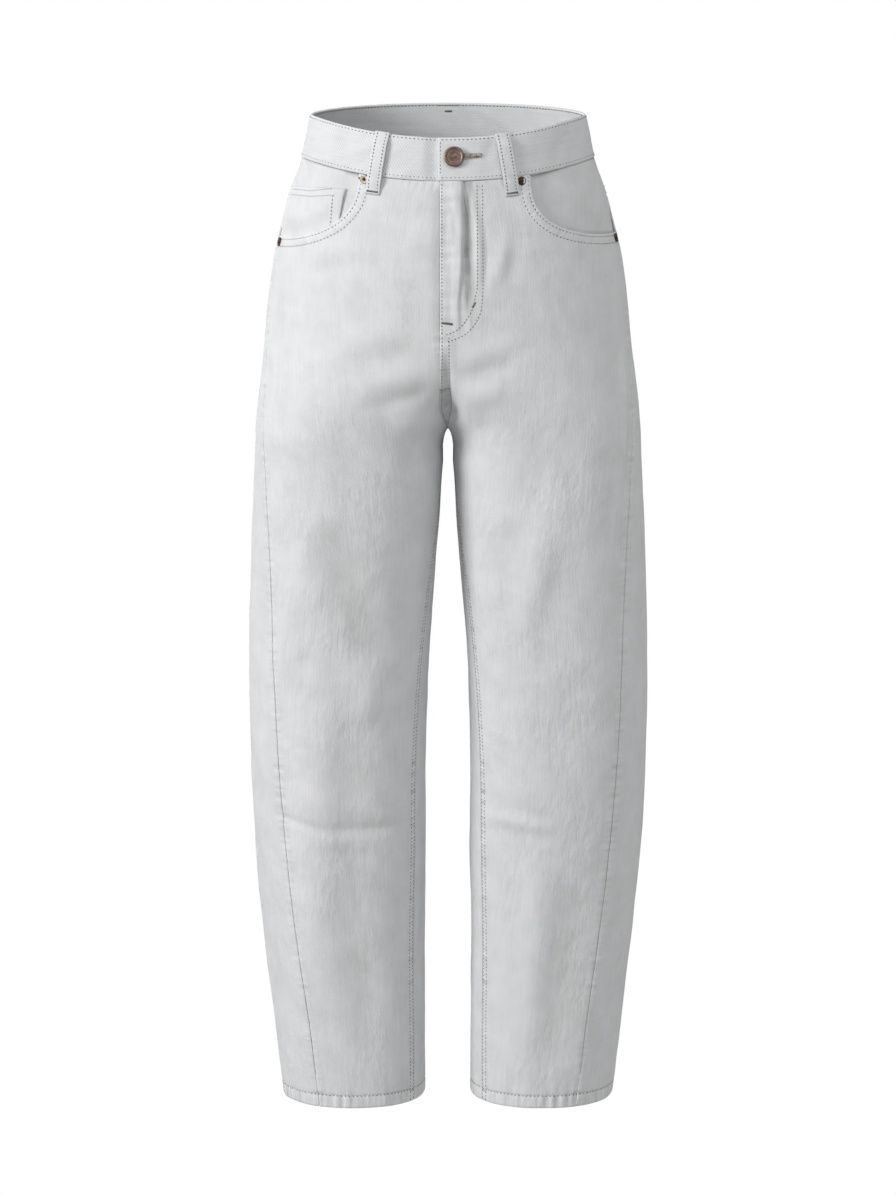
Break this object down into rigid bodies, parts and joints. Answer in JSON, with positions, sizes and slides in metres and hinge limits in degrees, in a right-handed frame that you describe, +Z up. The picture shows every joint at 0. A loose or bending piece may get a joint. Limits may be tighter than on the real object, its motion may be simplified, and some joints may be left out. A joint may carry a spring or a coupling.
{
  "type": "barrel leg trousers",
  "caption": "Pale denim trousers with a high waist, scooped pockets, a fly front and bowed barrel legs that taper to the hem, filled out as worn with an open waist and open legs.",
  "frame": {"origin": "centre of the waist opening, level with the waistband's top edge at the sides", "axes": "+Z up along the trousers' length, -Y the front, +X the wearer's left"},
  "size_m": [0.3982, 0.234, 0.9984],
  "materials": {
    "denim": "pale grey washed cotton twill with tone on tone stitching",
    "zip_tape": "grey woven tape",
    "button_metal": "aged copper brown plating",
    "rivet_metal": "aged brass plating"
  },
  "bodies": {
    "root": {"front_left": "denim", "front_right": "denim", "back_left": "denim", "back_right": "denim", "back_yoke_left": "denim", "back_yoke_right": "denim", "back_pocket_left": "denim", "back_pocket_right": "denim", "pocket_facing_left": "denim", "pocket_facing_right": "denim", "coin_pocket": "denim", "waistband": "denim", "belt_loop_front_left": "denim", "belt_loop_front_right": "denim", "belt_loop_back_left": "denim", "belt_loop_back_right": "denim", "belt_loop_back_centre": "denim", "fly_shield": "denim", "zip": "zip_tape", "button": "button_metal", "rivet_front_left": "rivet_metal", "rivet_front_right": "rivet_metal", "rivet_side_left": "rivet_metal", "rivet_side_right": "rivet_metal"}
  },
  "joints": []
}
